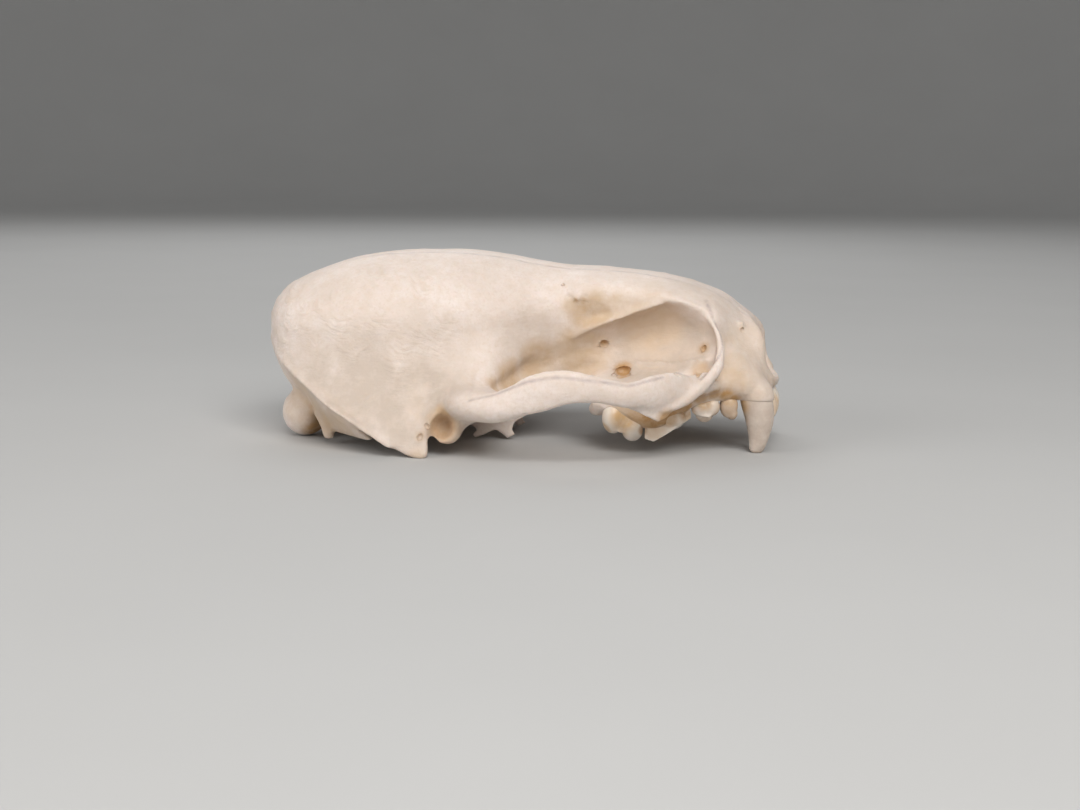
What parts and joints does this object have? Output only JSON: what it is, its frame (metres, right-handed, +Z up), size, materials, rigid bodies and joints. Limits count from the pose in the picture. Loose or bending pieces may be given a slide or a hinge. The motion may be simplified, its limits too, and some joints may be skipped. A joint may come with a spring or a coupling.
{
  "type": "sea otter skull",
  "caption": "Life-size cranium of an adult sea otter without its lower jaw, with cheek arches, ear bullae and upper teeth, resting on its canines and mastoids.",
  "frame": {"origin": "middle of the skull's bounding box, at the level of the surface it rests on", "axes": "+X to the nose, +Y to the animal's left, +Z up"},
  "size_m": [0.1336, 0.1006, 0.049],
  "materials": {
    "bone": "matte, bleached bone, warm white with tan in the hollows",
    "tooth": "satin ivory enamel"
  },
  "bodies": {
    "root": {"braincase": "bone", "occiput": "bone", "frontal": "bone", "muzzle": "bone", "upper_jaw": "bone", "zygomatic_arch_right": "bone", "zygomatic_arch_left": "bone", "auditory_bulla_right": "bone", "auditory_bulla_left": "bone", "pterygoid_right": "bone", "pterygoid_left": "bone", "canine_right": "tooth", "canine_left": "tooth", "premolar_2_right": "tooth", "premolar_2_left": "tooth", "premolar_3_right": "tooth", "premolar_3_left": "tooth", "premolar_4_right": "tooth", "premolar_4_left": "tooth", "molar_1_right": "tooth", "molar_1_left": "tooth", "incisor_1_right": "tooth", "incisor_1_left": "tooth", "incisor_2_right": "tooth", "incisor_2_left": "tooth", "incisor_3_right": "tooth", "incisor_3_left": "tooth"}
  },
  "joints": []
}
